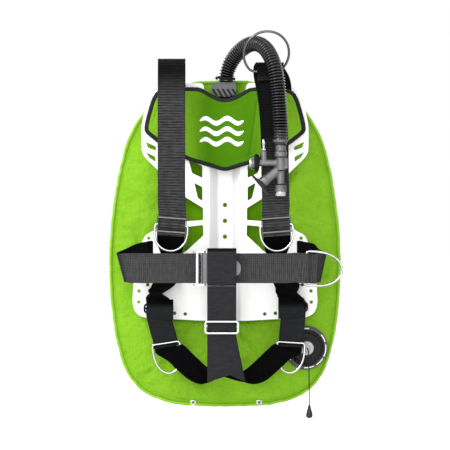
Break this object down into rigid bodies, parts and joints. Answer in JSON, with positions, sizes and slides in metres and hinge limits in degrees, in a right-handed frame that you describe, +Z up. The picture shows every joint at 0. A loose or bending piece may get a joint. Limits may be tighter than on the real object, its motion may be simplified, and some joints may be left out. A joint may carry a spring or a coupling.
{
  "type": "buoyancy compensator vest",
  "caption": "Ring-shaped air wing behind a bent metal backplate with padded back, webbing harness with rings, hose inflator and pull dump valve.",
  "frame": {"origin": "on the flat tank face of the rear pad, on the centre line, at the plate's mid-height", "axes": "+Z up along the spine, +Y out of the tank face towards the tank, +X to the right as the harness faces the viewer"},
  "size_m": [0.4255, 0.1851, 0.7047],
  "materials": {
    "wing_fabric": "coarse woven nylon cover",
    "panel_fabric": "plain woven nylon",
    "pad_fabric": "padded nylon with raised pattern",
    "binding": "woven edge tape",
    "webbing": "ribbed harness webbing",
    "tab_fabric": "woven tab",
    "plate_paint": "white powder coat",
    "steel": "polished stainless",
    "black_plastic": "moulded, fine grain",
    "grey_plastic": "moulded, satin",
    "rubber": "matt rubber",
    "bladder_film": "welded film"
  },
  "bodies": {
    "harness": {"wing_front_shell": "wing_fabric", "wing_back_shell": "wing_fabric", "inner_bladder": "bladder_film", "centre_panel": "panel_fabric", "tank_pad": "rubber", "bladder_zip": "black_plastic", "left_grommet": "steel", "right_grommet": "steel", "valve_seat": "black_plastic", "valve_ring": "black_plastic", "valve_spring": "steel", "hose_elbow": "black_plastic", "corrugated_hose": "rubber", "elbow_hose_tie": "black_plastic", "inflator_cuff": "rubber", "inflator_hose_tie": "black_plastic", "inflator_body": "grey_plastic", "inflate_button_ring": "black_plastic", "inflate_spring": "steel", "deflate_spring": "steel", "lp_nipple": "steel", "mouthpiece": "rubber", "backplate": "plate_paint", "back_pad": "pad_fabric", "pad_binding": "binding", "hose_tab": "tab_fabric", "left_shoulder_strap": "webbing", "right_shoulder_strap": "webbing", "left_waist_belt": "webbing", "right_waist_belt": "webbing", "crotch_loop": "webbing", "crotch_strap": "webbing", "left_hip_strap": "webbing", "right_hip_strap": "webbing", "left_crotch_branch": "webbing", "right_crotch_branch": "webbing", "hose_ring_patch": "webbing", "left_chest_keeper": "steel", "right_chest_keeper": "steel", "left_hip_slide": "black_plastic", "right_hip_slide": "black_plastic", "buckle_frame": "steel"},
    "left_chest_ring": {"left_chest_d_ring": "steel"},
    "right_chest_ring": {"right_chest_d_ring": "steel"},
    "left_hip_ring": {"left_hip_d_ring": "steel"},
    "right_hip_ring": {"right_hip_d_ring": "steel"},
    "waist_ring": {"waist_d_ring": "steel"},
    "shoulder_ring": {"hose_ring": "steel"},
    "flap": {"buckle_flap": "grey_plastic"},
    "power_button": {"inflate_button": "steel"},
    "oral_button": {"deflate_button": "steel"},
    "dump_plunger": {"valve_plunger": "grey_plastic", "pull_cord": "webbing", "pull_knob": "black_plastic"},
    "crotch_adjuster": {"crotch_slide": "steel"},
    "zip_pull": {"zip_slider": "steel"}
  },
  "joints": [
    {"name": "left_chest_ring_swing", "type": "hinge", "parent": "harness", "child": "left_chest_ring", "pos_m": [-0.097, -0.1014, -0.042], "axis": [0.9972, 0, -0.0748], "range_deg": [-150, 0]},
    {"name": "right_chest_ring_swing", "type": "hinge", "parent": "harness", "child": "right_chest_ring", "pos_m": [0.0928, -0.1014, -0.042], "axis": [0.9972, 0, 0.0748], "range_deg": [-150, 0]},
    {"name": "left_hip_ring_swing", "type": "hinge", "parent": "harness", "child": "left_hip_ring", "pos_m": [-0.1078, -0.06, -0.257], "axis": [0.9889, 0, 0.1483], "range_deg": [-10, 10]},
    {"name": "right_hip_ring_swing", "type": "hinge", "parent": "harness", "child": "right_hip_ring", "pos_m": [0.12, -0.06, -0.256], "axis": [0.9982, 0, -0.0599], "range_deg": [-10, 10]},
    {"name": "waist_ring_swing", "type": "hinge", "parent": "harness", "child": "waist_ring", "pos_m": [0.146, -0.1134, -0.1202], "axis": [0.0599, 0, 0.9982], "range_deg": [-100, 0]},
    {"name": "shoulder_ring_swing", "type": "hinge", "parent": "harness", "child": "shoulder_ring", "pos_m": [0.075, -0.096, 0.2375], "axis": [0.9988, 0, 0.0499], "range_deg": [-6, 6]},
    {"name": "flap_open", "type": "hinge", "parent": "harness", "child": "flap", "pos_m": [-0.0415, -0.1187, -0.1202], "axis": [0, 0, 1], "range_deg": [-5, 0]},
    {"name": "inflate_press", "type": "slide", "parent": "harness", "child": "power_button", "axis": [1, 0, 0], "range_m": [0, 0.003], "stiffness_N_per_m": 400, "springref_m": -0.001, "deforming": ["inflate_spring"]},
    {"name": "deflate_press", "type": "slide", "parent": "harness", "child": "oral_button", "axis": [0, 0, 1], "range_m": [0, 0.003], "stiffness_N_per_m": 400, "springref_m": -0.001, "deforming": ["deflate_spring"]},
    {"name": "dump_pull", "type": "slide", "parent": "harness", "child": "dump_plunger", "axis": [0.2009, -0.9744, -0.1005], "range_m": [0, 0.004], "stiffness_N_per_m": 600, "springref_m": -0.001, "deforming": ["valve_spring"]},
    {"name": "crotch_slide_move", "type": "slide", "parent": "harness", "child": "crotch_adjuster", "axis": [0, 0.2102, -0.9777], "range_m": [-0.02, 0.02]},
    {"name": "zip_run", "type": "slide", "parent": "harness", "child": "zip_pull", "axis": [0, 0, 1], "range_m": [-0.14, 0]}
  ]
}
